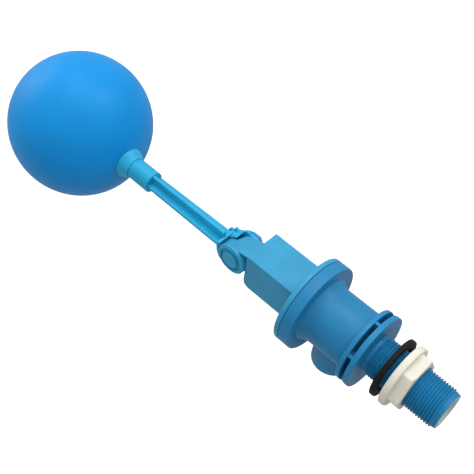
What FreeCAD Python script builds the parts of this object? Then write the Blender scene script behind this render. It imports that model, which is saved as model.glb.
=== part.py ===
import FreeCAD, Part
import math
import os

from FreeCAD import Vector

# Side-entry float valve with a pilot-operated diaphragm, in millimetres.
#
# Row frame: the origin is the centre of the mounting flange's sealing face, on the valve's axis.
# +X runs out along the threaded inlet stem, -X towards the float, +Z is up and the outlet spout
# points down along -Z. The float arm is drawn level, resting on its lower stop.

# ---------------------------------------------------------------- driving dimensions
# inlet stem: G 3/4 parallel pipe thread (ISO 228), drawn as annular crests of the true profile depth
THREAD_PITCH = 1.814
THREAD_MAJOR_R = 13.22
THREAD_MINOR_R = 12.06
THREAD_RELIEVED_R = 13.02       # crests that the lock nut and the washer travel over
THREAD_CREST_LAND = 0.34
STEM_NECK_END = 3.5
FREE_THREAD_START = 30.5
THREAD_END = 50.2
STEM_END = 52.5
STEM_BORE_R = 9.6
STEM_LIP_R = 11.3               # counterbore at the stem's end that takes the strainer's flange
STEM_LIP_DEPTH = 1.2

# body barrel, its flanges and the outlet
BARREL_R = 19.5
CHAMBER_R = 17.0                # annular outlet chamber inside the barrel
CHAMBER_END = -12.5
INLET_TUBE_R = 11.6
ROOT_R = 22.0                   # conical root where the barrel meets the body flange
ROOT_LENGTH = 5.0
BODY_FLANGE_R = 30.0
BODY_FLANGE_FRONT = -49.5
BODY_FLANGE_REAR = -41.7
CUP_R = 26.6                    # socket in the body flange that takes the bonnet's spigot
CUP_FLOOR = -44.2
MOUNT_DISC_R = 25.2
MOUNT_DISC_FRONT = -9.5
MOUNT_SLOT = (-6.5, -3.6)
MOUNT_HUB_R = 15.0
MOUNT_RIBS = 6
MOUNT_RIB_T = 2.0
MOUNT_RIB_PHASE = -2.0
SPOUT_X = -25.0
SPOUT_R = 13.5
SPOUT_BORE_R = 11.0
SPOUT_END = -34.5

# bonnet: disc, square housing and the pivot knuckle on its end
BONNET_DISC_R = 30.0
BONNET_DISC_FRONT = -53.1
BONNET_FLOOR = -51.0            # wall of the pilot chamber
SPIGOT_R = 26.3
SPIGOT_BORE_R = 21.5
SPIGOT_END = -46.0
BAYONET_LUGS = 4
BAYONET_R = 28.2
BAYONET_WIDTH_DEG = 26.0
BOX_END = -92.8
BOX_HALF_Y = 13.4
BOX_TOP = 14.8
BOX_BOTTOM = -13.3
BOX_WALL = 2.8
BOX_BACK = -56.0                # end of the housing's cavity, towards the disc
COVER_T = 2.0
BOX_CORNER_R = 5.0
PIVOT_X = -103.5
PIVOT_Z = 2.75
KNUCKLE_R = 10.75
KNUCKLE_Y = (-13.4, -4.0)
KNUCKLE_SLOPE = ((-99.6, 13.0), (-104.4, 10.7), (-109.0, 8.0), (-113.9, 5.1))   # (x, z) down its top
NECK_Y = (-11.0, -4.0)          # narrower part between the round knuckle and the housing
NECK_BOTTOM = -4.25
CAM_ROOM_Y = (-9.6, -5.4)
CAM_ROOM_R = 5.6
CAM_WINDOW = (-103.4, -2.25, 10.75)     # its start along X, and its low and high Z
HOOD_Y = 2.2                    # the sloping top reaches over the serrated hub as far as this
HOOD_FRONT = ((-109.0, -4.0), (-105.7, 2.2))    # (x, y) ends of the hood's slanting front edge
ROOF_T = 1.5

# lever: shaft, cam and serrated hub
SHAFT_R = 4.0
SHAFT_BORE_R = 4.05
SHAFT_THREAD_R = 3.4
SHAFT_END = 9.4
CAP_R = 10.7                    # the shaft's stepped round cap, on the near side of the knuckle
CAP_Y = (-15.0, -13.45)
CAP_RIM_R = 9.55
CAP_RIM_Y = -15.5
CAP_RECESS_R = 8.25
CAP_RECESS_Y = -14.2
CAP_BUTTON_R = 5.8
CAP_BUTTON_Y = -16.4
CAM_Y = (-9.3, -5.7)
CAM_HUB_R = 5.2
CAM_NOSE = (2.2, 5.6)           # centre of the nose from the pivot, along X and Z
CAM_NOSE_R = 1.8
CAM_CLEARANCE = 0.1
HUB_Y = (-3.9, 2.35)
HUB_R = 5.4
SERRATIONS = 12
SERRATION_H = 0.5

# float arm
ARM_Y = -7.0
ARM_Z = PIVOT_Z
TUBE_R = 7.4
TUBE_START = -181.5
TUBE_END = -199.0               # the boss of the ball starts here
RIB_T = 2.5
RIB_NEAR = (5.6, 5.6)           # reach of each rib from the axis, at the tube and at the saddle
RIB_TOP = (6.6, 7.7)
RIB_FAR = (6.2, 7.9)
RIB_END = -117.0
CHEEK_Y = (2.4, 4.4)
CHEEK_R = 8.8
SADDLE_Y = (-13.4, -0.7)
SADDLE_R = (12.35, 14.1)
SADDLE_ARC_DEG = (163.0, 225.0)
CHEEK_FAN_R = 9.4
CHEEK_BUMPS = ((117.0, 8.3, 2.0), (173.0, 11.6, 2.2), (184.0, 16.1, 2.2))  # (angle, distance, radius)
SHOULDER_Y = -3.8               # the shoulder runs from here to the cheek's outer face
SHOULDER_TOP = ((-109.6, 9.6), (-112.0, 8.3), (-115.0, 5.8), (-119.5, 3.1), (-122.6, 0.5))
SHOULDER_ROOM_R = 9.0           # clear of the hood while the lever turns

# float
BALL_X = -254.5
BALL_R = 49.3
BALL_WALL = 1.6
BALL_NECK_R = 10.7

# lock nut and sealing washer, as they are loosely screwed on for delivery
NUT_X = (18.4, 30.4)
NUT_FLANGE_T = 4.6
NUT_FLANGE_R = 20.5
NUT_ACROSS_FLATS = 32.5
NUT_BORE_R = 13.4
WASHER_X = (11.8, 15.0)
WASHER_R = 20.0
WASHER_HOLE_R = 15.6

# strainer basket in the stem's bore
STRAINER_TIP = 17.0
STRAINER_WALL = 1.1
STRAINER_MOUTH_R = 8.9
STRAINER_SLOTS = 12
STRAINER_BANDS = (26.0, 34.0)

# pilot valve and main valve
PILOT_TRAVEL = 2.17             # pilot plunger, from open to closed
SEAT_LIP = -44.6
SEAT_R = 9.0
SEAT_END = -37.0
SEAT_BORE_R = 6.4
WASHER_FACE = -46.65            # main disc 2 mm off the seat's lip
MEMBRANE_X = (-48.98, -47.98)
PLATE_X = (-50.2, -49.0)
PLATE_R = 15.0
BLEED_AT_R = 12.8
NOZZLE_R = 3.0
NOZZLE_TIP = -56.4

X = Vector(1, 0, 0)
Y = Vector(0, 1, 0)
Z = Vector(0, 0, 1)


# ---------------------------------------------------------------- helpers
def rod_x(x0, x1, r, y=0.0, z=0.0):
    return Part.makeCylinder(r, x1 - x0, Vector(x0, y, z), X)


def rod_y(y0, y1, r, x=PIVOT_X, z=PIVOT_Z):
    return Part.makeCylinder(r, y1 - y0, Vector(x, y0, z), Y)


def rod_z(z0, z1, r, x, y=0.0):
    return Part.makeCylinder(r, z1 - z0, Vector(x, y, z0), Z)


def block(x, y, z):
    """A box from three (low, high) pairs."""
    return Part.makeBox(x[1] - x[0], y[1] - y[0], z[1] - z[0], Vector(x[0], y[0], z[0]))


def turned_x(profile, y=0.0, z=0.0):
    """A solid of revolution about an axis along X, from (x, r) points."""
    points = [Vector(x, y + r, z) for x, r in profile]
    wire = Part.makePolygon(points + points[:1])
    return Part.Face(wire).revolve(Vector(0, y, z), X, 360)


def turned_y(profile, x=PIVOT_X, z=PIVOT_Z):
    """A solid of revolution about an axis along Y, from (y, r) points."""
    points = [Vector(x + r, y, z) for y, r in profile]
    wire = Part.makePolygon(points + points[:1])
    return Part.Face(wire).revolve(Vector(x, 0, z), Y, 360)


def prism_y(outline, y0, y1):
    """A plate in the XZ plane from (x, z) points, between two Y planes."""
    points = [Vector(x, y0, z) for x, z in outline]
    return Part.Face(Part.makePolygon(points + points[:1])).extrude(Vector(0, y1 - y0, 0))


def sector_y(r_in, r_out, start_deg, end_deg, y0, y1):
    """Part of a ring about the pivot. Angles run from +X towards +Z."""
    def on(r, deg):
        a = math.radians(deg)
        return Vector(PIVOT_X + r * math.cos(a), y0, PIVOT_Z + r * math.sin(a))
    mid = (start_deg + end_deg) / 2
    edges = [
        Part.Arc(on(r_out, start_deg), on(r_out, mid), on(r_out, end_deg)).toShape(),
        Part.makeLine(on(r_out, end_deg), on(r_in, end_deg)),
        Part.Arc(on(r_in, end_deg), on(r_in, mid), on(r_in, start_deg)).toShape(),
        Part.makeLine(on(r_in, start_deg), on(r_out, start_deg)),
    ]
    return Part.Face(Part.Wire(edges)).extrude(Vector(0, y1 - y0, 0))


def turned_about_axis(shape, deg):
    copy = shape.copy()
    copy.rotate(Vector(0, 0, 0), X, deg)
    return copy


def turned_about_pivot(shape, deg):
    copy = shape.copy()
    copy.rotate(Vector(PIVOT_X, 0, PIVOT_Z), Y, deg)
    return copy


def joined(first, *rest):
    shape = first
    for other in rest:
        shape = shape.fuse(other)
    return shape.removeSplitter()


def hexagon_x(x0, x1, across_flats):
    corner = across_flats / math.sqrt(3)
    points = [
        Vector(x0, corner * math.cos(math.radians(60 * i)), corner * math.sin(math.radians(60 * i)))
        for i in range(7)
    ]
    return Part.Face(Part.makePolygon(points)).extrude(Vector(x1 - x0, 0, 0))


def save(node, shape):
    solids = shape.Solids
    if not solids or not all(s.isValid() and s.isClosed() for s in solids):
        raise ValueError(node + " is not a set of closed solids")
    if len(solids) == 1:
        shape = solids[0]
    shape.exportStep("parts/" + node + ".step")
    box = shape.BoundBox
    print("%-18s %2d solid(s) %9.1f mm3  x %.1f..%.1f  y %.1f..%.1f  z %.1f..%.1f" % (
        node, len(solids), shape.Volume, box.XMin, box.XMax, box.YMin, box.YMax, box.ZMin, box.ZMax))


# ---------------------------------------------------------------- body
def threaded_stem():
    """Neck, annular thread crests and the plain lead at the end, as one turned solid."""
    profile = [(-1.0, 0.0), (-1.0, THREAD_MINOR_R + 0.6), (STEM_NECK_END, THREAD_MINOR_R + 0.6)]
    flank = (THREAD_PITCH - THREAD_CREST_LAND) / 2
    count = int((THREAD_END - STEM_NECK_END) / THREAD_PITCH)
    for i in range(count):
        start = STEM_NECK_END + i * THREAD_PITCH
        crest = THREAD_MAJOR_R if start > FREE_THREAD_START else THREAD_RELIEVED_R
        profile += [
            (start, THREAD_MINOR_R),
            (start + flank, crest),
            (start + flank + THREAD_CREST_LAND, crest),
        ]
    last = STEM_NECK_END + count * THREAD_PITCH
    profile += [
        (last, THREAD_MINOR_R),
        (STEM_END - 0.8, THREAD_MINOR_R),
        (STEM_END, THREAD_MINOR_R - 0.4),
        (STEM_END, 0.0),
    ]
    return turned_x(profile)


def mounting_flange():
    """Two discs with a slot between them, bridged by short radial ribs."""
    rear = turned_x([(MOUNT_SLOT[1], 0), (MOUNT_SLOT[1], MOUNT_DISC_R - 0.4),
                     (MOUNT_SLOT[1] + 0.4, MOUNT_DISC_R), (-0.5, MOUNT_DISC_R + 0.2),
                     (0, MOUNT_DISC_R - 0.3), (0, 0)])
    front = turned_x([(MOUNT_DISC_FRONT, 0), (MOUNT_DISC_FRONT, MOUNT_DISC_R - 0.6),
                      (MOUNT_DISC_FRONT + 0.4, MOUNT_DISC_R - 0.2),
                      (MOUNT_SLOT[0] - 0.4, MOUNT_DISC_R - 0.2),
                      (MOUNT_SLOT[0], MOUNT_DISC_R - 0.6), (MOUNT_SLOT[0], 0)])
    hub = rod_x(MOUNT_SLOT[0], MOUNT_SLOT[1], MOUNT_HUB_R)
    rib = block(MOUNT_SLOT, (-MOUNT_RIB_T / 2, MOUNT_RIB_T / 2), (0, MOUNT_DISC_R - 0.5))
    step = 360.0 / MOUNT_RIBS
    ribs = [turned_about_axis(rib, MOUNT_RIB_PHASE + step * i) for i in range(MOUNT_RIBS)]
    return joined(rear, front, hub, *ribs)


def valve_body():
    barrel = turned_x([
        (BODY_FLANGE_FRONT, 0), (BODY_FLANGE_FRONT, BODY_FLANGE_R - 0.4),
        (BODY_FLANGE_FRONT + 0.4, BODY_FLANGE_R), (BODY_FLANGE_REAR - 0.6, BODY_FLANGE_R),
        (BODY_FLANGE_REAR, BODY_FLANGE_R - 0.6), (BODY_FLANGE_REAR, ROOT_R),
        (BODY_FLANGE_REAR + ROOT_LENGTH, BARREL_R), (MOUNT_DISC_FRONT + 0.5, BARREL_R),
        (MOUNT_DISC_FRONT + 0.5, 0)])
    spout = rod_z(SPOUT_END, 0, SPOUT_R, SPOUT_X)
    solid = joined(barrel, mounting_flange(), threaded_stem(), spout)

    cup = rod_x(BODY_FLANGE_FRONT - 1, CUP_FLOOR, CUP_R)
    groove = rod_x(SPIGOT_END - 2.2, SPIGOT_END + 0.2, BAYONET_R + 0.15)
    chamber = rod_x(CUP_FLOOR - 1, CHAMBER_END, CHAMBER_R)
    chamber = chamber.cut(rod_x(CUP_FLOOR - 2, CHAMBER_END + 1, INLET_TUBE_R))
    bore = rod_x(SEAT_END + 2.0, STEM_END + 1, STEM_BORE_R)
    lip = rod_x(STEM_END - STEM_LIP_DEPTH, STEM_END + 1, STEM_LIP_R)
    seat_pocket = rod_x(CUP_FLOOR - 1, SEAT_END, SEAT_R)
    throat = rod_x(SEAT_END - 0.5, SEAT_END + 2.5, SEAT_BORE_R)
    spout_bore = rod_z(SPOUT_END - 1, -INLET_TUBE_R + 1.0, SPOUT_BORE_R, SPOUT_X)
    spout_bore = spout_bore.cut(rod_x(-50, 0, INLET_TUBE_R))
    for tool in (cup, groove, chamber, bore, lip, seat_pocket, throat, spout_bore):
        solid = solid.cut(tool)

    slot_deg = BAYONET_WIDTH_DEG + 6
    entry = block((BODY_FLANGE_FRONT - 1, SPIGOT_END), (-15, 15), (CUP_R - 2, BAYONET_R + 0.15))
    entry = entry.common(rod_x(BODY_FLANGE_FRONT - 1, SPIGOT_END, BAYONET_R + 0.15))
    half = math.radians(slot_deg / 2)
    wedge = Part.makePolygon([Vector(-60, 0, 0), Vector(-60, 40 * math.sin(half), 40 * math.cos(half)),
                              Vector(-60, -40 * math.sin(half), 40 * math.cos(half)), Vector(-60, 0, 0)])
    entry = entry.common(Part.Face(wedge).extrude(Vector(20, 0, 0)))
    for i in range(BAYONET_LUGS):
        solid = solid.cut(turned_about_axis(entry, 360.0 / BAYONET_LUGS * (i + 0.5)))
    return solid.removeSplitter()


def main_seat():
    """Replaceable seat pressed into the inlet tube. The main disc closes on its raised lip."""
    return turned_x([
        (SEAT_END, SEAT_BORE_R), (SEAT_END, SEAT_R), (CUP_FLOOR, SEAT_R), (CUP_FLOOR, SEAT_R - 0.6),
        (SEAT_LIP, SEAT_R - 1.0), (SEAT_LIP, SEAT_BORE_R + 0.6), (CUP_FLOOR, SEAT_BORE_R)])


def inlet_strainer():
    """Pale basket in the stem's bore, with a flange at the mouth and a ring of lengthwise slots."""
    face = STEM_END - 0.1
    back = STEM_END - STEM_LIP_DEPTH + 0.05
    collar_end = back - 2.4
    outer = STEM_BORE_R - 0.1
    tip, wall = STRAINER_TIP, STRAINER_WALL
    basket = turned_x([
        (face, STRAINER_MOUTH_R), (face, STEM_LIP_R - 0.05), (back, STEM_LIP_R - 0.05), (back, outer),
        (collar_end, outer), (collar_end, outer - 0.9), (tip, outer - 2.2), (tip, 0), (tip + wall, 0),
        (tip + wall, outer - 2.2 - wall), (back - 1.5, outer - 1.9)])
    slot = block((tip + 4, collar_end - 3.2), (-0.8, 0.8), (0, outer + 1))
    for i in range(STRAINER_SLOTS):
        basket = basket.cut(turned_about_axis(slot, 360.0 / STRAINER_SLOTS * i))
    bands = [rod_x(x, x + 1.4, outer - 1.15).cut(rod_x(x - 1, x + 3, outer - 2.2)) for x in STRAINER_BANDS]
    return joined(basket, *bands)


# ---------------------------------------------------------------- bonnet
def bonnet_box():
    """Square housing with a rounded lower corner at its end."""
    r = BOX_CORNER_R
    a = math.radians(45)
    corner = Vector(BOX_END + r, -BOX_HALF_Y, BOX_BOTTOM + r)
    edges = [
        Part.makeLine(Vector(BOX_END, -BOX_HALF_Y, BOX_BOTTOM + r), Vector(BOX_END, -BOX_HALF_Y, BOX_TOP)),
        Part.makeLine(Vector(BOX_END, -BOX_HALF_Y, BOX_TOP),
                      Vector(BONNET_DISC_FRONT + 1, -BOX_HALF_Y, BOX_TOP)),
        Part.makeLine(Vector(BONNET_DISC_FRONT + 1, -BOX_HALF_Y, BOX_TOP),
                      Vector(BONNET_DISC_FRONT + 1, -BOX_HALF_Y, BOX_BOTTOM)),
        Part.makeLine(Vector(BONNET_DISC_FRONT + 1, -BOX_HALF_Y, BOX_BOTTOM),
                      Vector(BOX_END + r, -BOX_HALF_Y, BOX_BOTTOM)),
        Part.Arc(Vector(BOX_END + r, -BOX_HALF_Y, BOX_BOTTOM),
                 corner + Vector(-r * math.cos(a), 0, -r * math.sin(a)),
                 Vector(BOX_END, -BOX_HALF_Y, BOX_BOTTOM + r)).toShape(),
    ]
    return Part.Face(Part.Wire(edges)).extrude(Vector(0, 2 * BOX_HALF_Y, 0))


def knuckle_parts():
    """Pivot knuckle with a sloping top, its neck, and a hood on the far side of it."""
    start = BOX_END + 1.0
    slope = [(start, BOX_TOP), (BOX_END, BOX_TOP), *KNUCKLE_SLOPE]
    front = KNUCKLE_SLOPE[-1][0]
    below = prism_y(slope + [(front, -30.0), (start, -30.0)], *KNUCKLE_Y)
    round_part = rod_y(KNUCKLE_Y[0], KNUCKLE_Y[1], KNUCKLE_R).common(below)
    ahead_of_pivot = block((PIVOT_X, start), NECK_Y, (NECK_BOTTOM, BOX_TOP))
    neck = below.common(ahead_of_pivot)
    underside = [(x, z - ROOF_T) for x, z in reversed(slope)]
    roof = prism_y(slope + underside, KNUCKLE_Y[0], HOOD_Y)
    (x0, y0), (x1, y1) = HOOD_FRONT
    run = (x1 - x0) / (y1 - y0)
    corner = [Vector(x0, y0, -30), Vector(x1 + run, y1 + 1, -30), Vector(front - 5, y1 + 1, -30),
              Vector(front - 5, y0, -30), Vector(x0, y0, -30)]
    roof = roof.cut(Part.Face(Part.makePolygon(corner)).extrude(Vector(0, 0, 60)))
    return round_part, neck, roof


def bonnet_housing():
    disc = turned_x([
        (BONNET_DISC_FRONT, 0), (BONNET_DISC_FRONT, BONNET_DISC_R - 0.6),
        (BONNET_DISC_FRONT + 0.6, BONNET_DISC_R), (BODY_FLANGE_FRONT - 0.5, BONNET_DISC_R),
        (BODY_FLANGE_FRONT - 0.15, BONNET_DISC_R - 0.4), (BODY_FLANGE_FRONT - 0.15, 0)])
    spigot = rod_x(BODY_FLANGE_FRONT - 1, SPIGOT_END, SPIGOT_R)
    solid = joined(bonnet_box(), disc, spigot, *knuckle_parts())

    half_y = BOX_HALF_Y - BOX_WALL
    cavity = block((BOX_END + BOX_WALL, BOX_BACK), (-half_y, half_y),
                   (BOX_BOTTOM + COVER_T, BOX_TOP - BOX_WALL))
    mouth = block((BOX_END + BOX_CORNER_R, BOX_BACK), (-half_y, half_y), (BOX_BOTTOM - 1, 0))
    cam_room = rod_y(CAM_ROOM_Y[0], CAM_ROOM_Y[1], CAM_ROOM_R)
    window_x, window_low, window_high = CAM_WINDOW
    window_back = BOX_END + BOX_WALL + 1
    window = prism_y([
        (window_x, window_low), (window_back, window_low), (window_back, window_high),
        (window_x + 2.4, window_high), (window_x, window_high - 1.15)], *CAM_ROOM_Y)
    pin_bore = rod_y(KNUCKLE_Y[0] - 1, KNUCKLE_Y[1] + 1, SHAFT_BORE_R)
    pilot_chamber = rod_x(BONNET_FLOOR, SPIGOT_END + 1, SPIGOT_BORE_R)
    nozzle_bore = rod_x(-57.0, BONNET_FLOOR + 1, NOZZLE_R)
    nozzle_seat = rod_x(BONNET_FLOOR - 1.0, BONNET_FLOOR + 1, NOZZLE_R + 2.2)
    bleed_hole = rod_x(BONNET_FLOOR - 1.6, BONNET_FLOOR + 1, 0.47, 0, BLEED_AT_R)
    hollows = (cavity, mouth, cam_room, window, pin_bore, pilot_chamber, nozzle_seat, nozzle_bore,
               bleed_hole)
    for tool in hollows:
        solid = solid.cut(tool)
    half = math.radians(BAYONET_WIDTH_DEG / 2)
    wedge = Part.makePolygon([Vector(-60, 0, 0), Vector(-60, 40 * math.sin(half), 40 * math.cos(half)),
                              Vector(-60, -40 * math.sin(half), 40 * math.cos(half)), Vector(-60, 0, 0)])
    ring = rod_x(SPIGOT_END - 2.0, SPIGOT_END, BAYONET_R).cut(rod_x(-50, -40, SPIGOT_R - 1))
    lug = ring.common(Part.Face(wedge).extrude(Vector(20, 0, 0)))
    for i in range(BAYONET_LUGS):
        solid = solid.fuse(turned_about_axis(lug, 360.0 / BAYONET_LUGS * i))
    return solid.removeSplitter()


def housing_cover():
    """Plate that closes the housing from below, with drain slots for the pilot water."""
    half_y = BOX_HALF_Y - BOX_WALL - 0.05
    plate = block((BOX_END + BOX_CORNER_R + 0.05, BOX_BACK - 0.05), (-half_y, half_y),
                  (BOX_BOTTOM, BOX_BOTTOM + COVER_T))
    for i in range(4):
        x = -82.0 + 6.5 * i
        plate = plate.cut(block((x, x + 2.6), (-6.5, 6.5), (BOX_BOTTOM - 1, BOX_BOTTOM + 3)))
    return plate


def pilot_nozzle():
    """Brass jet through the bonnet's wall. The plunger's pad closes its tip."""
    return turned_x([
        (NOZZLE_TIP, 0.6), (NOZZLE_TIP, 1.4), (NOZZLE_TIP + 0.9, NOZZLE_R - 0.05),
        (BONNET_FLOOR - 1.0, NOZZLE_R - 0.05), (BONNET_FLOOR - 1.0, NOZZLE_R + 1.6),
        (BONNET_FLOOR, NOZZLE_R + 1.6), (BONNET_FLOOR, 0.6)])


def nozzle_seal():
    """Thin rubber ring round the jet's head, in the counterbore."""
    return turned_x([
        (BONNET_FLOOR - 0.9, NOZZLE_R + 1.65), (BONNET_FLOOR - 0.9, NOZZLE_R + 2.15),
        (BONNET_FLOOR - 0.1, NOZZLE_R + 2.15), (BONNET_FLOOR - 0.1, NOZZLE_R + 1.65)])


# ---------------------------------------------------------------- main valve
def main_diaphragm():
    """Rubber membrane with one convolution, gripped between the spigot and the cup's floor."""
    membrane = turned_x([
        (CUP_FLOOR - 0.05, 26.2), (CUP_FLOOR - 0.05, 19.6), (MEMBRANE_X[1], 15.6), (MEMBRANE_X[1], 3.05),
        (MEMBRANE_X[0], 3.05), (MEMBRANE_X[0], 16.0), (CUP_FLOOR - 1.2, 20.4), (SPIGOT_END + 0.05, 21.3),
        (SPIGOT_END + 0.05, 26.2)])
    return membrane.cut(rod_x(MEMBRANE_X[0] - 1, MEMBRANE_X[1] + 1, 0.9, 0, BLEED_AT_R))


def diaphragm_plate():
    """Backing plate on the chamber side, with a hub through the membrane and the seat washer."""
    plate = turned_x([
        (PLATE_X[0], 0), (PLATE_X[0], PLATE_R - 0.4), (PLATE_X[0] + 0.4, PLATE_R), (PLATE_X[1], PLATE_R),
        (PLATE_X[1], 3.0), (WASHER_FACE - 0.05, 3.0), (WASHER_FACE - 0.05, 0)])
    plate = plate.cut(rod_x(PLATE_X[0] + 0.6, WASHER_FACE + 1, 1.17))
    return plate.cut(rod_x(PLATE_X[0] - 1, PLATE_X[1] + 1, 0.8, 0, BLEED_AT_R))


def seat_washer():
    """Rubber face that shuts on the seat's lip."""
    start = MEMBRANE_X[1] + 0.03
    return turned_x([(start, 3.05), (start, 9.5), (WASHER_FACE, 9.5), (WASHER_FACE, 3.05)])


def washer_screw():
    """Round-headed screw that holds the seat washer and the membrane to the plate."""
    screw = turned_x([
        (PLATE_X[0] + 0.8, 0), (PLATE_X[0] + 0.8, 1.15), (WASHER_FACE + 0.03, 1.15),
        (WASHER_FACE + 0.03, 4.8), (WASHER_FACE + 0.6, 4.8), (WASHER_FACE + 1.2, 3.6),
        (WASHER_FACE + 1.2, 0)])
    return screw.cut(block((WASHER_FACE + 0.6, WASHER_FACE + 2), (-0.4, 0.4), (-6, 6)))


def bleed_pin():
    """Wire fixed in the bonnet that keeps the bleed hole through the membrane clear."""
    return rod_x(BONNET_FLOOR - 1.5, CUP_FLOOR - 0.8, 0.45, 0, BLEED_AT_R)


# ---------------------------------------------------------------- pilot plunger
def pilot_plunger():
    """Square slide in the housing, with a foot that the cam's nose pushes."""
    rear = PIVOT_X + CAM_NOSE[0] + CAM_NOSE_R + CAM_CLEARANCE
    pad_face = NOZZLE_TIP - PILOT_TRAVEL - 0.05
    slide = block((-84.0, pad_face - 3.0), (-10.3, 10.3), (-10.8, 11.7))
    slide = slide.cut(block((-81.8, pad_face - 5.2), (-12.0, 12.0), (-8.6, 9.5)))
    web = block((-84.0, pad_face - 3.0), (-1.5, 1.5), (-10.8, 11.7))
    foot = block((rear, -83.0), (CAM_Y[0] + 0.3, CAM_Y[1] - 0.3), (6.1, 9.4))
    boss = rod_x(pad_face - 3.2, pad_face - 1.0, 5.2)
    pocket = rod_x(pad_face - 2.2, pad_face + 1.0, 4.0)
    return joined(slide, web, foot, boss).cut(pocket)


def pilot_pad():
    """Rubber pad pressed into the plunger's face."""
    face = NOZZLE_TIP - PILOT_TRAVEL - 0.05
    return rod_x(face - 2.2, face, 3.98)


# ---------------------------------------------------------------- lever
def pivot_shaft():
    """Shaft with a stepped round cap on the near side and a threaded end for the clamp nut."""
    edge = 0.35
    return turned_y([
        (CAP_BUTTON_Y, 0), (CAP_BUTTON_Y, CAP_BUTTON_R - 1.2), (CAP_BUTTON_Y + edge, CAP_BUTTON_R - edge),
        (CAP_BUTTON_Y + 1.0, CAP_BUTTON_R), (CAP_RECESS_Y, CAP_BUTTON_R), (CAP_RECESS_Y, CAP_RECESS_R),
        (CAP_RIM_Y + edge, CAP_RECESS_R), (CAP_RIM_Y, CAP_RECESS_R + edge), (CAP_RIM_Y, CAP_RIM_R - edge),
        (CAP_RIM_Y + edge, CAP_RIM_R), (CAP_Y[0], CAP_RIM_R), (CAP_Y[0], CAP_R - edge),
        (CAP_Y[0] + edge, CAP_R), (CAP_Y[1], CAP_R), (CAP_Y[1], SHAFT_R), (HUB_Y[1], SHAFT_R),
        (HUB_Y[1], SHAFT_THREAD_R), (SHAFT_END - 0.6, SHAFT_THREAD_R), (SHAFT_END, SHAFT_THREAD_R - 0.6),
        (SHAFT_END, 0)])


def cam_lever():
    """Cam keyed to the shaft inside the knuckle. Its nose pushes the plunger's foot."""
    nx, nz = PIVOT_X + CAM_NOSE[0], PIVOT_Z + CAM_NOSE[1]
    hub = rod_y(CAM_Y[0], CAM_Y[1], CAM_HUB_R)
    nose = rod_y(CAM_Y[0], CAM_Y[1], CAM_NOSE_R, nx, nz)
    reach = math.hypot(*CAM_NOSE)
    side = Vector(-CAM_NOSE[1] / reach, 0, CAM_NOSE[0] / reach) * CAM_NOSE_R
    outline = [
        (PIVOT_X + side.x, PIVOT_Z + side.z), (nx + side.x, nz + side.z),
        (nx - side.x, nz - side.z), (PIVOT_X - side.x, PIVOT_Z - side.z)]
    web = prism_y(outline, CAM_Y[0], CAM_Y[1])
    solid = joined(hub, nose, web).cut(rod_y(CAM_Y[0] - 1, CAM_Y[1] + 1, SHAFT_R + 0.02))
    middle = (CAM_Y[0] + CAM_Y[1]) / 2
    return solid.cut(rod_x(PIVOT_X - 9, PIVOT_X - SHAFT_R + 1, 1.0, middle, PIVOT_Z))


def cam_grub_screw():
    """Headless screw that fixes the cam to the shaft."""
    middle = (CAM_Y[0] + CAM_Y[1]) / 2
    return rod_x(PIVOT_X - CAM_HUB_R, PIVOT_X - SHAFT_R - 0.03, 0.98, middle, PIVOT_Z)


def serration(y_face, height):
    """One radial tooth, wider towards the rim, standing out along +Y."""
    points = [Vector(PIVOT_X, y_face, PIVOT_Z)]
    half = math.radians(360.0 / SERRATIONS / 4 * 0.92)
    for a in (-half, half):
        points.append(Vector(PIVOT_X + HUB_R * math.cos(a), y_face, PIVOT_Z + HUB_R * math.sin(a)))
    base = Part.Face(Part.makePolygon(points + points[:1]))
    return base.extrude(Vector(0, height, 0))


def serrated_hub():
    """Disc keyed to the shaft. The clamp nut pulls the arm's cheek against its radial teeth."""
    disc = rod_y(HUB_Y[0], HUB_Y[1] - SERRATION_H, HUB_R)
    tooth = serration(HUB_Y[1] - SERRATION_H, SERRATION_H)
    teeth = [turned_about_pivot(tooth, 360.0 / SERRATIONS * i) for i in range(SERRATIONS)]
    solid = joined(disc, *teeth)
    solid = solid.common(rod_y(HUB_Y[0], HUB_Y[1], HUB_R))
    return solid.cut(rod_y(HUB_Y[0] - 1, HUB_Y[1] + 1, SHAFT_R + 0.02)).removeSplitter()


# ---------------------------------------------------------------- float arm
def cheek():
    """Cheek beyond the knuckle, with grip bumps along its upper front edge."""
    y0, y1 = CHEEK_Y
    disc = rod_y(y0, y1, CHEEK_R)
    fan = sector_y(1.0, CHEEK_FAN_R, 100.0, 175.0, y0, y1)
    tail = sector_y(5.0, SADDLE_R[1], 160.0, SADDLE_ARC_DEG[1], y0, y1)
    shape = joined(disc, fan, tail)
    for deg, reach, size in CHEEK_BUMPS:
        a = math.radians(deg)
        bump = rod_y(y0, y1, size, PIVOT_X + reach * math.cos(a), PIVOT_Z + reach * math.sin(a))
        shape = shape.fuse(bump)
    return shape.removeSplitter()


def shoulder():
    """Sloping shoulder in front of the hood, which joins the shank to the cheek."""
    inside = []
    for deg in range(181, 130, -8):
        a = math.radians(deg)
        inside.append((PIVOT_X + SHOULDER_ROOM_R * math.cos(a), PIVOT_Z + SHOULDER_ROOM_R * math.sin(a)))
    low = SHOULDER_TOP[-1][1]
    return prism_y([*SHOULDER_TOP, (-116.5, low), *inside], SHOULDER_Y, CHEEK_Y[1])


def tapered_rib(reach, up):
    """Rib from the tube to the saddle. It stands along the unit vector up."""
    across = X.cross(up) * (RIB_T / 2)
    tube_x = TUBE_START - 1
    ends = [(tube_x, 0.0), (tube_x, reach[0]), (RIB_END, reach[1]), (PIVOT_X - SADDLE_R[0], 0.0)]
    points = [Vector(x, ARM_Y, ARM_Z) + up * h - across for x, h in ends]
    return Part.Face(Part.makePolygon(points + points[:1])).extrude(across * 2)


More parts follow.
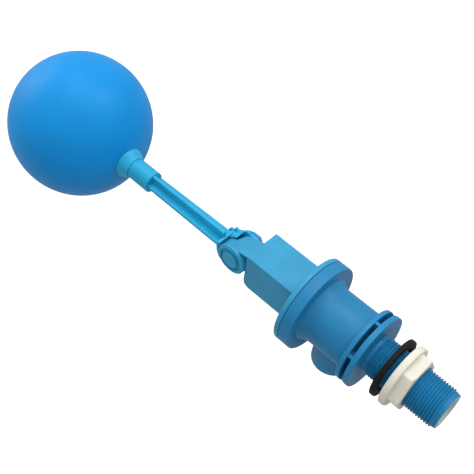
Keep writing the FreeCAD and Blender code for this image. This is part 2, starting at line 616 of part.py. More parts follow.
def float_arm():
    """Arm with a clamped cheek, a curved saddle in front of the knuckle, a ribbed shank and a socket."""
    saddle = sector_y(SADDLE_R[0], SADDLE_R[1], SADDLE_ARC_DEG[0], SADDLE_ARC_DEG[1], *SADDLE_Y)
    saddle_tail = sector_y(SADDLE_R[0], SADDLE_R[1], 178.0, SADDLE_ARC_DEG[1], SADDLE_Y[1], CHEEK_Y[0])
    ribs = [tapered_rib(RIB_TOP, Z), tapered_rib(RIB_TOP, -Z),
            tapered_rib(RIB_NEAR, -Y), tapered_rib(RIB_FAR, Y)]
    core = rod_x(TUBE_START - 1, RIB_END, 1.9, ARM_Y, ARM_Z)
    tube = rod_x(TUBE_END, TUBE_START, TUBE_R, ARM_Y, ARM_Z)
    far_link = block((RIB_END - 0.2, PIVOT_X - SADDLE_R[0] + 0.5), (ARM_Y, CHEEK_Y[1]),
                     (ARM_Z - RIB_T / 2, ARM_Z + RIB_T / 2))
    solid = joined(saddle, saddle_tail, *ribs, core, tube, far_link, cheek())

    bore = rod_y(CHEEK_Y[0] - 1, CHEEK_Y[1] + 1, SHAFT_THREAD_R + 0.05)
    knuckle_room = rod_y(CAP_BUTTON_Y, CHEEK_Y[0], SADDLE_R[0])
    stud_bore = rod_x(TUBE_END - 1, TUBE_END + 12.0, 3.0, ARM_Y, ARM_Z)
    for tool in (bore, knuckle_room, stud_bore):
        solid = solid.cut(tool)
    return joined(solid, shoulder())


def clamp_washer():
    y0 = CHEEK_Y[1] + 0.05
    return rod_y(y0, y0 + 0.8, 7.6).cut(rod_y(y0 - 1, y0 + 2, SHAFT_THREAD_R + 0.1))


def clamp_nut():
    """Round flanged nut with a hexagon, on the shaft's threaded end."""
    y0 = CHEEK_Y[1] + 0.9
    flange = turned_y([(y0, 0), (y0, 8.2), (y0 + 1.2, 8.2), (y0 + 1.8, 7.4), (y0 + 1.8, 0)])
    corner = 5.8
    points = [
        Vector(PIVOT_X + corner * math.cos(math.radians(60 * i)), y0 + 1.0,
               PIVOT_Z + corner * math.sin(math.radians(60 * i)))
        for i in range(7)
    ]
    hexagon = Part.Face(Part.makePolygon(points)).extrude(Vector(0, 3.0, 0))
    return joined(flange, hexagon).cut(rod_y(y0 - 1, y0 + 6, SHAFT_THREAD_R + 0.03))


def arm_stud():
    """Threaded brass stud moulded into the arm's end. The ball screws onto it."""
    profile = [(TUBE_END + 12.0, 0), (TUBE_END + 12.0, 3.0), (TUBE_END - 1.0, 3.0)]
    pitch = 1.0
    turns = 9
    for i in range(turns):
        start = TUBE_END - 1.5 - i * pitch
        profile += [(start, 2.6), (start - pitch / 2, 3.0)]
    end = TUBE_END - 1.5 - turns * pitch
    return turned_x(profile + [(end, 2.6), (end, 0)], ARM_Y, ARM_Z)


# ---------------------------------------------------------------- float
def float_ball():
    """Hollow moulded ball with a neck that the boss is welded into."""
    centre = Vector(BALL_X, ARM_Y, ARM_Z)
    shell = Part.makeSphere(BALL_R, centre)
    hollow = Part.makeSphere(BALL_R - BALL_WALL, centre)
    mouth = rod_x(BALL_X, BALL_X + BALL_R + 1, BALL_NECK_R - 1.5, ARM_Y, ARM_Z)
    return shell.cut(hollow).cut(mouth)


def ball_boss():
    """Flared threaded boss that fills the ball's mouth."""
    surface = BALL_X + math.sqrt(BALL_R ** 2 - BALL_NECK_R ** 2)
    lip = TUBE_END - 0.05
    plug_r = BALL_NECK_R - 1.55
    inner = surface - 8.0
    body = turned_x([
        (inner, 0), (inner, plug_r), (BALL_X + BALL_R - 4, plug_r), (BALL_X + BALL_R - 4, BALL_NECK_R),
        (surface + 0.8, BALL_NECK_R), (surface + 3.4, BALL_NECK_R - 1.2), (surface + 5.4, TUBE_R + 1.0),
        (lip, TUBE_R + 0.5), (lip, 0)], ARM_Y, ARM_Z)
    ball = Part.makeSphere(BALL_R + 0.02, Vector(BALL_X, ARM_Y, ARM_Z))
    plug = rod_x(inner - 1, lip + 1, plug_r, ARM_Y, ARM_Z)
    body = joined(body.cut(ball), body.common(plug))
    return body.cut(rod_x(inner + 1.5, lip + 1, 3.03, ARM_Y, ARM_Z))


# ---------------------------------------------------------------- lock nut and washer
def lock_nut():
    rear = NUT_X[1]
    front = NUT_X[0]
    flange = turned_x([
        (front, 0), (front, NUT_FLANGE_R - 0.4), (front + 0.4, NUT_FLANGE_R),
        (front + NUT_FLANGE_T - 0.5, NUT_FLANGE_R), (front + NUT_FLANGE_T, NUT_FLANGE_R - 0.5),
        (front + NUT_FLANGE_T, 0)])
    corner = NUT_ACROSS_FLATS / math.sqrt(3)
    chamfer = turned_x([(front, 0), (front, corner), (rear - 1.6, corner), (rear, corner - 1.2), (rear, 0)])
    hexagon = hexagon_x(front + 1, rear, NUT_ACROSS_FLATS).common(chamfer)
    return joined(flange, hexagon).cut(rod_x(front - 1, rear + 1, NUT_BORE_R))


def sealing_washer():
    ring = turned_x([
        (WASHER_X[0], WASHER_HOLE_R), (WASHER_X[0], WASHER_R - 0.5), (WASHER_X[0] + 0.5, WASHER_R),
        (WASHER_X[1] - 0.5, WASHER_R), (WASHER_X[1], WASHER_R - 0.5), (WASHER_X[1], WASHER_HOLE_R)])
    return ring


# ---------------------------------------------------------------- export
PARTS = {
    "valve_body": valve_body,
    "main_seat": main_seat,
    "inlet_strainer": inlet_strainer,
    "bonnet_housing": bonnet_housing,
    "housing_cover": housing_cover,
    "pilot_nozzle": pilot_nozzle,
    "nozzle_seal": nozzle_seal,
    "main_diaphragm": main_diaphragm,
    "diaphragm_plate": diaphragm_plate,
    "seat_washer": seat_washer,
    "washer_screw": washer_screw,
    "bleed_pin": bleed_pin,
    "pilot_plunger": pilot_plunger,
    "pilot_pad": pilot_pad,
    "pivot_shaft": pivot_shaft,
    "cam_lever": cam_lever,
    "cam_grub_screw": cam_grub_screw,
    "serrated_hub": serrated_hub,
    "float_arm": float_arm,
    "clamp_washer": clamp_washer,
    "clamp_nut": clamp_nut,
    "arm_stud": arm_stud,
    "float_ball": float_ball,
    "ball_boss": ball_boss,
    "lock_nut": lock_nut,
    "sealing_washer": sealing_washer,
}

os.makedirs("parts", exist_ok=True)
for name, make in PARTS.items():
    save(name, make())
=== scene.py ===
import math

import bmesh
import bpy
from mathutils import Matrix, Vector


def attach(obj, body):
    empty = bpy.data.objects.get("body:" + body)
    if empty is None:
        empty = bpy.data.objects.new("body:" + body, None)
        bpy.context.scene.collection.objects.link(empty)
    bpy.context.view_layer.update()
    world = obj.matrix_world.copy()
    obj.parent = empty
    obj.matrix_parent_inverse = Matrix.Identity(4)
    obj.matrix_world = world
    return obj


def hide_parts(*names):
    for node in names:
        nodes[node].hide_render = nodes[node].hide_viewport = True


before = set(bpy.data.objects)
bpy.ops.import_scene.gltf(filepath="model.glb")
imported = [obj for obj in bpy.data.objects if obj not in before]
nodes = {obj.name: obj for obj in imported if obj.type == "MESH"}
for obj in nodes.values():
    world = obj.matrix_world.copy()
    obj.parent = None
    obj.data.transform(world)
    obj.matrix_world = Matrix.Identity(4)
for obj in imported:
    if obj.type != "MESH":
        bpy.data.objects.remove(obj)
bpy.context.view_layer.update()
scene = bpy.context.scene
MM = 0.001

# ---------------------------------------------------------------- camera
view_x = Vector((0.7177, 0.6905, 0.0903))
view_y = Vector((-0.5783, 0.5187, 0.6297))
view_z = Vector((0.3880, -0.5041, 0.7716))
camera_data = bpy.data.cameras.new("camera")
camera_data.sensor_width = 36
camera_data.lens = 68.35
camera_data.clip_start = 0.01
camera_data.clip_end = 50
camera = bpy.data.objects.new("camera", camera_data)
rotation = Matrix((view_x, view_y, view_z)).transposed().to_4x4()
camera.matrix_world = Matrix.Translation(Vector((106.56, -284.64, 439.86)) * MM) @ rotation
scene.collection.objects.link(camera)
scene.camera = camera

# ---------------------------------------------------------------- sizes, in mm
THREAD_PITCH = 1.814
THREAD_MAJOR_R = 13.22
THREAD_MINOR_R = 12.06
THREAD_START = 1.8
THREAD_STOP = 51.2
THREAD_STEP = 0.14
STEM_END = 52.5
STEM_BORE_R = 9.6
STEM_LIP_R = 11.3
STEM_LIP_BACK = 51.3
INNER_TUBE_R = 11.6
SPOUT_X = -25.0
SPOUT_R = 13.5
SPOUT_BORE_R = 11.0
MOUNT_RIBS = 6
MOUNT_RIB_PHASE = -2.0
BOX_END = -92.8
BOX_BOTTOM = -13.3
BOX_TOP = 14.8
BOX_HALF_Y = 13.4
BOX_CORNER_R = 5
PIVOT = (-103.5, 2.75)
ARM = (-7.0, 2.75)
CHEEK_Y = (2.4, 4.4)
CHEEK_BUMPS = ((117.0, 8.3, 2.0), (173.0, 11.6, 2.2), (184.0, 16.1, 2.2))
SADDLE_R = (12.35, 14.1)
SHOULDER_ROOM_R = 9
BALL_X, BALL_R, BALL_WALL = -254.5, 49.3, 1.6
BALL_MOUTH_R = 9.2
CLAMP_HEX_R = 5.8
NUT_ACROSS_FLATS = 32.5
NUT_BORE_R = 13.4
WASHER_X = (11.8, 15.0)
WASHER_HOLE_R = 15.6
WASHER_R = 20.0


# ---------------------------------------------------------------- mesh helpers
def new_object(name, verts, faces):
    mesh = bpy.data.meshes.new(name)
    mesh.from_pydata([Vector(v) * MM for v in verts], [], faces)
    mesh.update()
    obj = bpy.data.objects.new(name, mesh)
    scene.collection.objects.link(obj)
    bm = bmesh.new()
    bm.from_mesh(mesh)
    bmesh.ops.remove_doubles(bm, verts=bm.verts, dist=1e-7)
    bmesh.ops.recalc_face_normals(bm, faces=bm.faces)
    bm.to_mesh(mesh)
    bm.free()
    return obj


def soften(section, radius, steps=3):
    """Rounds the corners of a closed section of (along, r[, own radius]) points."""
    out = []
    count = len(section)
    for i, point in enumerate(section):
        here = Vector(point[:2])
        size = point[2] if len(point) > 2 else radius
        before = Vector(section[i - 1][:2]) - here
        after = Vector(section[(i + 1) % count][:2]) - here
        on_axis = abs(here.y) < 1e-6
        if on_axis or size <= 0 or abs(before.angle(after) - math.pi) < 0.15:
            out.append(tuple(here))
            continue
        reach = min(size, before.length * 0.48, after.length * 0.48)
        a = here + before.normalized() * reach
        b = here + after.normalized() * reach
        for k in range(steps + 1):
            t = k / steps
            out.append(tuple(a * (1 - t) ** 2 + here * (2 * t * (1 - t)) + b * t ** 2))
    return out


def place(axis, along, r, angle, centre):
    c, s = math.cos(angle) * r, math.sin(angle) * r
    if axis == "X":
        return (along, centre[0] + c, centre[1] + s)
    if axis == "Y":
        return (centre[0] + c, along, centre[1] + s)
    return (centre[0] + c, centre[1] + s, along)


def lathe(name, section, axis="X", centre=(0, 0), turns=96, soft=0.3, shape=None):
    """Turns a closed section about an axis. shape(section, angle) may reshape it round the turn."""
    if soft:
        section = soften(section, soft)
    verts, faces = [], []
    count = len(section)
    for k in range(turns):
        angle = 2 * math.pi * k / turns
        ring = shape(section, angle) if shape else section
        verts += [place(axis, a, r, angle, centre) for a, r in ring]
    for k in range(turns):
        n = (k + 1) % turns
        for i in range(count):
            j = (i + 1) % count
            if section[i][1] < 1e-6 and section[j][1] < 1e-6:
                continue
            faces.append((k * count + i, k * count + j, n * count + j, n * count + i))
    return new_object(name, verts, faces)


def prism(name, outline, plane, lo, hi, bevel=0.5, segments=3):
    """Extrudes an outline in the XZ, YZ or XY plane along the third axis, with rounded edges."""
    def at(u, v, w):
        return {"XZ": (u, w, v), "YZ": (w, u, v), "XY": (u, v, w)}[plane]
    count = len(outline)
    verts = [at(u, v, lo) for u, v in outline] + [at(u, v, hi) for u, v in outline]
    faces = [tuple(range(count)), tuple(range(2 * count - 1, count - 1, -1))]
    faces += [(i, (i + 1) % count, count + (i + 1) % count, count + i) for i in range(count)]
    obj = new_object(name, verts, faces)
    if bevel:
        round_edges(obj, bevel, segments)
    return obj


def round_edges(obj, width, segments=3, angle=28):
    bm = bmesh.new()
    bm.from_mesh(obj.data)
    sharp = [e for e in bm.edges if len(e.link_faces) == 2 and e.calc_face_angle() > math.radians(angle)]
    bmesh.ops.bevel(bm, geom=sharp, offset=width * MM, segments=segments, profile=0.5,
                    affect="EDGES", clamp_overlap=True)
    bm.to_mesh(obj.data)
    bm.free()


def block(name, x, y, z, bevel=0.5):
    return prism(name, [(x[0], z[0]), (x[1], z[0]), (x[1], z[1]), (x[0], z[1])], "XZ", y[0], y[1], bevel)


def arc(r, start, end, steps=24):
    """Points of an arc about the pivot, in X and Z. Angles run from +X towards +Z."""
    out = []
    for k in range(steps + 1):
        a = math.radians(start + (end - start) * k / steps)
        out.append((PIVOT[0] + r * math.cos(a), PIVOT[1] + r * math.sin(a)))
    return out


def hexagon(r, centre=(0, 0)):
    return [(centre[0] + r * math.cos(math.radians(60 * i)), centre[1] + r * math.sin(math.radians(60 * i)))
            for i in range(6)]


def sector(name, r_in, r_out, start, end, lo, hi, bevel=0.4):
    return prism(name, arc(r_out, start, end) + arc(r_in, end, start), "XZ", lo, hi, bevel)


def apply_modifiers(obj):
    depsgraph = bpy.context.evaluated_depsgraph_get()
    mesh = bpy.data.meshes.new_from_object(obj.evaluated_get(depsgraph))
    obj.modifiers.clear()
    obj.data = mesh


def boolean(target, tools, operation):
    for tool in tools:
        mod = target.modifiers.new("boolean", "BOOLEAN")
        mod.operation = operation
        mod.solver = "MANIFOLD"
        mod.object = tool
        apply_modifiers(target)
        bpy.data.objects.remove(tool)
    return target


def union(target, *tools):
    return boolean(target, tools, "UNION")


def cut(target, *tools):
    return boolean(target, tools, "DIFFERENCE")


def drum(name, axis, lo, hi, r, centre=(0, 0), soft=0, turns=96):
    return lathe(name, [(lo, 0), (lo, r), (hi, r), (hi, 0)], axis, centre, turns, soft)


def turned_about_x(obj, degrees):
    obj.data.transform(Matrix.Rotation(math.radians(degrees), 4, "X"))
    return obj


def piece(obj, body, node, material, angle=32):
    """Finishes a mesh that stands for a CAD node."""
    mesh = obj.data
    mesh.materials.clear()
    mesh.materials.append(material)
    mesh.polygons.foreach_set("use_smooth", [True] * len(mesh.polygons))
    mesh.set_sharp_from_angle(angle=math.radians(angle))
    weighted = obj.modifiers.new("normals", "WEIGHTED_NORMAL")
    weighted.keep_sharp = True
    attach(obj, body)
    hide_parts(node)
    return obj


# ---------------------------------------------------------------- materials
def shader_nodes(name):
    mat = bpy.data.materials.new(name)
    mat.use_nodes = True
    tree = mat.node_tree
    return mat, tree, tree.nodes["Principled BSDF"]


def noise(tree, scale, detail=3, stretch=(1, 1, 1), roughness=0.5):
    coords = tree.nodes.new("ShaderNodeTexCoord")
    mapping = tree.nodes.new("ShaderNodeMapping")
    mapping.inputs["Scale"].default_value = stretch
    tree.links.new(coords.outputs["Object"], mapping.inputs["Vector"])
    tex = tree.nodes.new("ShaderNodeTexNoise")
    tex.inputs["Scale"].default_value = scale
    tex.inputs["Detail"].default_value = detail
    tex.inputs["Roughness"].default_value = roughness
    tree.links.new(mapping.outputs["Vector"], tex.inputs["Vector"])
    return tex.outputs["Fac"]


def ramp(tree, source, low, high, low_at=0.35, high_at=0.65):
    node = tree.nodes.new("ShaderNodeValToRGB")
    node.color_ramp.elements[0].position = low_at
    node.color_ramp.elements[0].color = low
    node.color_ramp.elements[1].position = high_at
    node.color_ramp.elements[1].color = high
    tree.links.new(source, node.inputs["Fac"])
    return node.outputs["Color"]


def linear(rgb):
    def one(c):
        c /= 255.0
        return c / 12.92 if c <= 0.04045 else ((c + 0.055) / 1.055) ** 2.4
    return [one(c) for c in rgb]


def moulded(name, rgb, rough=0.42, vary=0.06, grain=0.05, clouds=90, streak=(1, 1, 1), specular=0.35,
            subsurface=0.0):
    """Moulded plastic: cloudy colour and gloss, faint flow streaks and a fine grain."""
    mat, tree, shader = shader_nodes(name)
    base = linear(rgb)
    low = [c * (1 - vary) for c in base] + [1]
    high = [min(1, c * (1 + vary)) for c in base] + [1]
    cloud = noise(tree, clouds, 4, streak)
    tree.links.new(ramp(tree, cloud, low, high), shader.inputs["Base Color"])
    smear = noise(tree, clouds * 2.7, 5, streak)
    gloss = tree.nodes.new("ShaderNodeMapRange")
    gloss.inputs["From Min"].default_value = 0.3
    gloss.inputs["From Max"].default_value = 0.7
    gloss.inputs["To Min"].default_value = rough - 0.06
    gloss.inputs["To Max"].default_value = rough + 0.07
    tree.links.new(smear, gloss.inputs["Value"])
    tree.links.new(gloss.outputs["Result"], shader.inputs["Roughness"])
    fine = noise(tree, 2600, 3)
    bump = tree.nodes.new("ShaderNodeBump")
    bump.inputs["Strength"].default_value = grain
    bump.inputs["Distance"].default_value = 0.0002
    tree.links.new(fine, bump.inputs["Height"])
    wave = tree.nodes.new("ShaderNodeBump")
    wave.inputs["Strength"].default_value = 0.12
    wave.inputs["Distance"].default_value = 0.0006
    tree.links.new(cloud, wave.inputs["Height"])
    tree.links.new(bump.outputs["Normal"], wave.inputs["Normal"])
    tree.links.new(wave.outputs["Normal"], shader.inputs["Normal"])
    shader.inputs["Specular IOR Level"].default_value = specular
    shader.inputs["Subsurface Weight"].default_value = subsurface
    shader.inputs["Subsurface Radius"].default_value = (0.002, 0.003, 0.004)
    return mat


def metal(name, rgb, rough, brushed=(1, 1, 1)):
    mat, tree, shader = shader_nodes(name)
    base = linear(rgb)
    tone = noise(tree, 700, 4, brushed)
    low = [c * 0.86 for c in base] + [1]
    tree.links.new(ramp(tree, tone, low, base + [1]), shader.inputs["Base Color"])
    bump = tree.nodes.new("ShaderNodeBump")
    bump.inputs["Strength"].default_value = 0.1
    bump.inputs["Distance"].default_value = 0.0001
    tree.links.new(tone, bump.inputs["Height"])
    tree.links.new(bump.outputs["Normal"], shader.inputs["Normal"])
    shader.inputs["Metallic"].default_value = 1.0
    shader.inputs["Roughness"].default_value = rough
    return mat


blue_body = moulded("blue_body", (22, 118, 166), 0.42, streak=(0.5, 1.6, 1.6), specular=0.28)
blue_bonnet = moulded("blue_bonnet", (39, 139, 180), 0.45)
blue_arm = moulded("blue_arm", (17, 156, 200), 0.38)
blue_shaft = moulded("blue_shaft", (38, 144, 186), 0.4)
blue_ball = moulded("blue_ball", (3, 133, 204), 0.42, vary=0.03, clouds=45, grain=0.03, specular=0.16)
ivory = moulded("ivory", (214, 210, 197), 0.4, vary=0.03, clouds=120, subsurface=0.15)
acetal = moulded("acetal", (222, 220, 208), 0.4, vary=0.03)
# a darker, greyer copy of the acetal colour: painted shade of the stem bore laid on the strainer
acetal_painted_bore_shade = moulded("acetal_painted_bore_shade", (172, 184, 182), 0.45, vary=0.04)
rubber = moulded("rubber", (20, 19, 18), 0.6, vary=0.2, grain=0.2, clouds=240, specular=0.15)
brass = metal("brass", (196, 160, 88), 0.3)
steel = metal("steel", (176, 176, 178), 0.32, (1, 6, 1))

CARRIED = {
    "main_seat": acetal, "inlet_strainer": acetal_painted_bore_shade, "housing_cover": blue_bonnet,
    "pilot_nozzle": brass, "nozzle_seal": rubber, "bleed_pin": steel, "main_diaphragm": rubber,
    "diaphragm_plate": acetal, "seat_washer": rubber, "washer_screw": steel, "pilot_plunger": acetal,
    "pilot_pad": rubber, "cam_lever": acetal, "cam_grub_screw": steel, "serrated_hub": blue_arm,
    "clamp_washer": steel, "arm_stud": brass,
}
for name, material in CARRIED.items():
    data = nodes[name].data
    data.materials.clear()
    data.materials.append(material)

# ---------------------------------------------------------------- valve body
body = lathe("body", [
    (-49.5, 26.6), (-49.5, 30.0, 0.5), (-41.7, 30.0, 0.9), (-41.7, 22.0, 0.8), (-36.7, 19.5, 2.5),
    (-9.5, 19.5, 0.8), (-9.5, 24.7, 0.7), (-6.5, 25.0, 0.4), (-6.5, 15.0, 0.3), (-3.6, 15.0, 0.3),
    (-3.6, 25.0, 0.4), (0, 25.2, 0.8), (0, 12.6, 0.4), (2.0, 12.3, 0.2), (2.0, STEM_BORE_R, 0),
    (-35.0, STEM_BORE_R, 0), (-35.0, 6.4, 0), (-37.0, 6.4, 0), (-37.0, 9.0, 0), (-44.2, 9.0),
    (-44.2, 11.6), (-12.5, 11.6, 0), (-12.5, 17.0, 0), (-44.2, 17.0), (-44.2, 26.6)], turns=144)
spout_section = [(-34.5, 0), (-34.5, SPOUT_R, 0.7), (-13.0, SPOUT_R, 0), (-13.0, 0)]
spout = lathe("spout", spout_section, "Z", (SPOUT_X, 0))
spout_bore = drum("spout_bore", "Z", -36, -10.6, SPOUT_BORE_R, (SPOUT_X, 0))
chamber_space = drum("chamber_space", "X", -44.1, -12.6, 17.0)
for space in (spout_bore, chamber_space):
    cut(space, drum("tube_space", "X", -50, 0, INNER_TUBE_R))
union(body, cut(spout, chamber_space))
cut(body, spout_bore)
for i in range(MOUNT_RIBS):
    rib = block("rib", (-6.9, -3.2), (-1.1, 1.1), (14.0, 24.5), 0.25)
    union(body, turned_about_x(rib, 360.0 / MOUNT_RIBS * i + MOUNT_RIB_PHASE))


def threaded(section, angle):
    """Helical thread on the outer points of the stem's section."""
    out = []
    for x, r in section:
        if r > THREAD_MINOR_R - 0.01 and 1.8 < x < 51.0:
            phase = (x / THREAD_PITCH - angle / (2 * math.pi)) % 1.0
            flank = min(1.0, max(0.0, (1 - abs(phase - 0.5) * 2) * 1.28 - 0.12))
            flank = flank * flank * (3 - 2 * flank) * 0.35 + flank * 0.65
            start = min(1.0, max(0.0, (x - 2.0) / 1.2))
            end = min(1.0, max(0.0, (50.5 - x) / 1.5))
            r = THREAD_MINOR_R + (THREAD_MAJOR_R - THREAD_MINOR_R) * flank * start * end
        out.append((x, r))
    return out


thread_points = 1 + int((THREAD_STOP - THREAD_START) / THREAD_STEP)
outer = [(THREAD_START + THREAD_STEP * i, THREAD_MINOR_R) for i in range(thread_points)]
lead = soften([(50.0, 10.0), (THREAD_STOP, THREAD_MINOR_R, 0.3), (STEM_END, 11.75, 0.4),
               (STEM_END, STEM_LIP_R, 0.15), (STEM_LIP_BACK, STEM_LIP_R, 0), (STEM_LIP_BACK, STEM_BORE_R, 0),
               (50.5, STEM_BORE_R, 0)], 0.4)
stem = lathe("stem", outer + lead[3:] + [(THREAD_START, STEM_BORE_R)], turns=144, soft=0, shape=threaded)
union(body, stem)
piece(body, "valve", "valve_body", blue_body)

# ---------------------------------------------------------------- bonnet
bonnet = lathe("bonnet", [
    (-53.1, 0), (-53.1, 30.0, 0.7), (-49.8, 30.0, 0.55), (-49.8, 26.3, 0.2), (-46.0, 26.3, 0.2),
    (-46.0, 21.5, 0.2), (-51.0, 21.5, 0), (-51.0, 0)], turns=144)
corner = [(BOX_END + BOX_CORNER_R - BOX_CORNER_R * math.sin(math.radians(a)),
           BOX_BOTTOM + BOX_CORNER_R - BOX_CORNER_R * math.cos(math.radians(a))) for a in range(0, 91, 9)]
housing_outline = corner + [(BOX_END, BOX_TOP), (-52.6, BOX_TOP), (-52.6, BOX_BOTTOM)]
housing = prism("housing", housing_outline, "XZ", -BOX_HALF_Y, BOX_HALF_Y, 0.6)
slope = [(-91.5, 14.6), (-93.4, 14.5), (-99.6, 13.0), (-104.4, 10.7), (-109.0, 8.0), (-113.9, 5.1)]
underside = [(x, z - 1.5) for x, z in reversed(slope)]
knuckle = prism("knuckle", slope[2:] + arc(10.75, 168, 400, 60), "XZ", -13.4, -4.0, 0.4)
neck = prism("neck", slope + [(-103.5, -4.25), (-91.5, -4.25)], "XZ", -11.0, -4.3, 0.3)
roof = prism("roof", slope + underside, "XZ", -13.4, 2.2, 0.35)
cut(roof, prism("corner", [(-109.0, -4.0), (-105.2, 3.2), (-120, 3.2), (-120, -4.0)], "XY", -5, 20, 0))
union(bonnet, housing, neck, knuckle, roof)
cavity = block("cavity", (-90.0, -56.0), (-10.6, 10.6), (-11.3, 12.0), 0)
mouth = block("mouth", (-87.8, -56.0), (-10.6, 10.6), (-15, 0), 0)
cam_room = drum("cam_room", "Y", -9.6, -5.4, 5.6, PIVOT)
window = prism("window", [(-103.4, -2.25), (-89.0, -2.25), (-89.0, 10.75), (-101.0, 10.75), (-103.4, 9.6)],
               "XZ", -9.6, -5.4, 0)
shaft_bore = drum("shaft_bore", "Y", -15, 0, 4.05, PIVOT)
nozzle_bore = drum("nozzle_bore", "X", -57.0, -50.0, 3.0)
nozzle_seat = drum("nozzle_seat", "X", -52.0, -50.0, 5.2)
cut(bonnet, cavity, mouth, cam_room, window, shaft_bore, nozzle_seat, nozzle_bore)
piece(bonnet, "valve", "bonnet_housing", blue_bonnet)

# ---------------------------------------------------------------- pivot shaft and clamp nut
shaft = lathe("shaft", [
    (-16.2, 0), (-16.4, 3.9, 0.8), (-16.4, 5.8, 0.8), (-14.2, 5.8, 0.4), (-14.2, 8.25, 0.4),
    (-15.5, 8.25, 0.35),
    (-15.5, 9.55, 0.45), (-15.0, 9.75, 0.2), (-15.0, 10.7, 0.4), (-13.45, 10.7, 0.2), (-13.45, 4.0, 0),
    (2.35, 4.0), (2.35, 3.4, 0), (8.8, 3.4, 0), (9.4, 2.8, 0), (9.4, 0)], "Y", PIVOT, 96)
piece(shaft, "lever", "pivot_shaft", blue_shaft)
clamp_section = [(5.3, 0), (5.3, 8.2, 0.2), (6.5, 8.2, 0.8), (7.1, 7.3, 0.3), (7.1, 0)]
clamp = lathe("clamp", clamp_section, "Y", PIVOT, 72)
union(clamp, prism("hexagon", hexagon(CLAMP_HEX_R, PIVOT), "XZ", 6.2, 9.2, 0.4))
cut(clamp, drum("clamp_bore", "Y", 4, 10, 3.43, PIVOT))
piece(clamp, "arm", "clamp_nut", blue_shaft)

# ---------------------------------------------------------------- float arm
arm = drum("arm", "Y", CHEEK_Y[0], CHEEK_Y[1], 8.8, PIVOT, soft=0.5)
tail = sector("tail", SADDLE_R[0], SADDLE_R[1], 178, 225, -2.0, 3.0)
saddle = sector("saddle", SADDLE_R[0], SADDLE_R[1], 163, 225, -13.4, -0.7)
fan = sector("fan", 6.0, 9.4, 100, 175, *CHEEK_Y)
far_tail = sector("far_tail", 7.0, SADDLE_R[1], 160, 225, *CHEEK_Y)
union(arm, saddle, tail, far_tail, fan)
for degrees, reach, size in CHEEK_BUMPS:
    a = math.radians(degrees)
    lobe_at = (PIVOT[0] + reach * math.cos(a), PIVOT[1] + reach * math.sin(a))
    union(arm, drum("lobe", "Y", CHEEK_Y[0], CHEEK_Y[1], size, lobe_at, soft=0.5, turns=48))


def rib_outline(reach):
    return [(-182.5, 0), (-182.5, reach[0]), (-117.0, reach[1]), (-115.4, 0)]


def arm_rib(name, reach, up):
    """A tapered rib of the shank. up is +Z, -Z, +Y or -Y."""
    rib = prism(name, rib_outline(reach), "XZ", -1.25, 1.25, 0.45)
    turn = {"+Z": 0, "-Z": 180, "-Y": 90, "+Y": -90}[up]
    rib.data.transform(Matrix.Rotation(math.radians(turn), 4, "X"))
    rib.data.transform(Matrix.Translation(Vector((0, ARM[0], ARM[1])) * MM))
    return rib


core = drum("core", "X", -182.5, -117.0, 1.9, ARM)
tube = lathe("tube", [(-199.0, 3.0, 0), (-199.0, 7.4, 0.5), (-181.5, 7.4, 0.6), (-181.5, 0), (-187.0, 0),
                      (-187.0, 3.0, 0)], "X", ARM, 72)
far_link = block("far_link", (-117.2, -115.35), (-7.0, 4.4), (1.5, 4.0), 0.4)
union(arm, arm_rib("rib_top", (6.6, 7.7), "+Z"), arm_rib("rib_bottom", (6.6, 7.7), "-Z"),
      arm_rib("rib_near", (5.6, 5.6), "-Y"), arm_rib("rib_far", (6.2, 7.9), "+Y"), core, tube, far_link)
cut(arm, drum("room", "Y", -16.4, 2.35, 12.35, PIVOT), drum("far_bore", "Y", 0, 6, 3.45, PIVOT))
shoulder_top = [(-109.6, 9.6), (-112.0, 8.3), (-115.0, 5.8), (-119.5, 3.1), (-122.6, 0.5), (-116.5, 0.5)]
room_arc = arc(SHOULDER_ROOM_R, 181, 133, 6)
union(arm, prism("shoulder", shoulder_top + room_arc, "XZ", -3.8, 4.35, 0.4))
piece(arm, "arm", "float_arm", blue_arm)

# ---------------------------------------------------------------- float ball and its boss
def ball_section():
    out = []
    steps = 96
    last = math.asin(BALL_MOUTH_R / BALL_R)
    for k in range(steps + 1):
        a = math.pi - (math.pi - last) * k / steps
        out.append((BALL_X + BALL_R * math.cos(a), max(0.0, BALL_R * math.sin(a))))
    out[0] = (BALL_X - BALL_R, 0.0)
    inner = BALL_R - BALL_WALL
    first = math.asin(BALL_MOUTH_R / inner)
    for k in range(49):
        a = first + (math.pi - first) * k / 48
        out.append((BALL_X + inner * math.cos(a), max(0.0, inner * math.sin(a))))
    out[-1] = (BALL_X - inner, 0.0)
    return out


ball = lathe("ball", ball_section(), "X", ARM, 192, 0)
piece(ball, "arm", "float_ball", blue_ball, 60)
boss = lathe("boss", [
    (-214.4, 0), (-214.4, 9.1, 0.5), (-206.6, 9.1, 0), (-206.6, 10.7, 0.2), (-205.5, 10.7, 0.8),
    (-202.8, 9.5, 1.5), (-200.8, 8.4, 0.6), (-199.05, 7.9, 0.4), (-199.05, 3.03, 0), (-212.9, 3.03, 0),
    (-212.9, 0)], "X", ARM, 96)
piece(boss, "arm", "ball_boss", blue_arm)

# ---------------------------------------------------------------- lock nut and sealing washer
nut = prism("nut", hexagon(NUT_ACROSS_FLATS / math.sqrt(3)), "YZ", 19.5, 30.4, 0.9, 4)
crown = lathe("crown", [(19.0, 0), (19.0, 25.0), (26.5, 25.0), (30.5, 16.6), (30.5, 0)], soft=0)
boolean(nut, [crown], "INTERSECT")
flange_section = [(18.4, 0), (18.4, 20.5, 1.4), (23.0, 20.5, 1.2), (23.2, 17.0, 0.6), (23.2, 0)]
union(nut, lathe("flange", flange_section, turns=144))
nut_bore = [(18.0, 0), (18.0, 14.2), (18.9, NUT_BORE_R), (29.9, NUT_BORE_R), (31.0, 14.4), (31.0, 0)]
cut(nut, lathe("nut_bore", nut_bore, soft=0, turns=144))
piece(nut, "nut", "lock_nut", ivory)

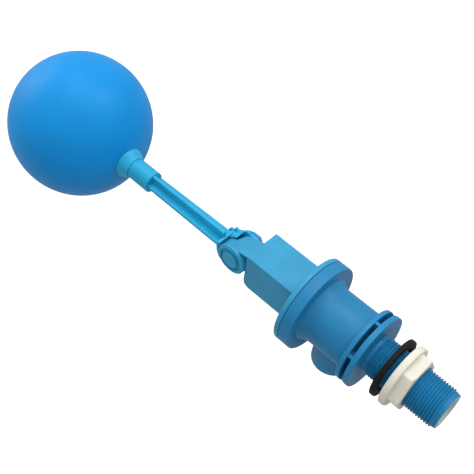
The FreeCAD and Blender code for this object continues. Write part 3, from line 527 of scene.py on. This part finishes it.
washer_section = [(WASHER_X[0], WASHER_HOLE_R, 0.3), (WASHER_X[0], WASHER_R, 0.7),
                  (WASHER_X[1], WASHER_R, 0.7), (WASHER_X[1], WASHER_HOLE_R, 0.3)]
washer = lathe("washer", washer_section, turns=144)
piece(washer, "washer", "sealing_washer", rubber)

# ---------------------------------------------------------------- stage and light
FLOOR_Z = -0.25
floor_mesh = bpy.data.meshes.new("floor")
floor_corners = [(-6, -6, FLOOR_Z), (6, -6, FLOOR_Z), (6, 6, FLOOR_Z), (-6, 6, FLOOR_Z)]
floor_mesh.from_pydata(floor_corners, [], [(0, 1, 2, 3)])
floor = bpy.data.objects.new("floor", floor_mesh)
scene.collection.objects.link(floor)
floor_mat, floor_tree, floor_shader = shader_nodes("floor")
floor_shader.inputs["Base Color"].default_value = (0.93, 0.93, 0.93, 1)
floor_shader.inputs["Roughness"].default_value = 0.9
floor_shader.inputs["Specular IOR Level"].default_value = 0.1
floor_mesh.materials.append(floor_mat)
floor.visible_diffuse = False
floor.visible_glossy = False

world = bpy.data.worlds.new("world")
world.use_nodes = True
sky = world.node_tree
sky_coords = sky.nodes.new("ShaderNodeTexCoord")
sky_split = sky.nodes.new("ShaderNodeSeparateXYZ")
sky.links.new(sky_coords.outputs["Generated"], sky_split.inputs["Vector"])
sky_shade = ramp(sky, sky_split.outputs["Z"], (0.54, 0.54, 0.54, 1), (1, 1, 1, 1), 0.0, 0.6)
sky.links.new(sky_shade, sky.nodes["Background"].inputs["Color"])
sky.nodes["Background"].inputs["Strength"].default_value = 0.95
scene.world = world
scene.view_settings.view_transform = "Standard"


def softbox(name, direction, distance, size, power, target=(-0.12, 0, 0)):
    data = bpy.data.lights.new(name, "AREA")
    data.shape = "DISK"
    data.size = size
    data.energy = power
    lamp = bpy.data.objects.new(name, data)
    aim = Vector(direction).normalized()
    lamp.location = Vector(target) + aim * distance
    lamp.rotation_euler = aim.to_track_quat("Z", "Y").to_euler()
    scene.collection.objects.link(lamp)


softbox("key", (-0.46, 0.13, 0.88), 1.1, 0.35, 1.0)
softbox("second", (0.31, 0.44, 0.84), 1.1, 0.35, 2.4)
softbox("top", (-0.1, 0.1, 1), 1.4, 1.4, 6.5)
softbox("left", (-0.95, -0.1, 0.3), 1.4, 1.0, 5.7)
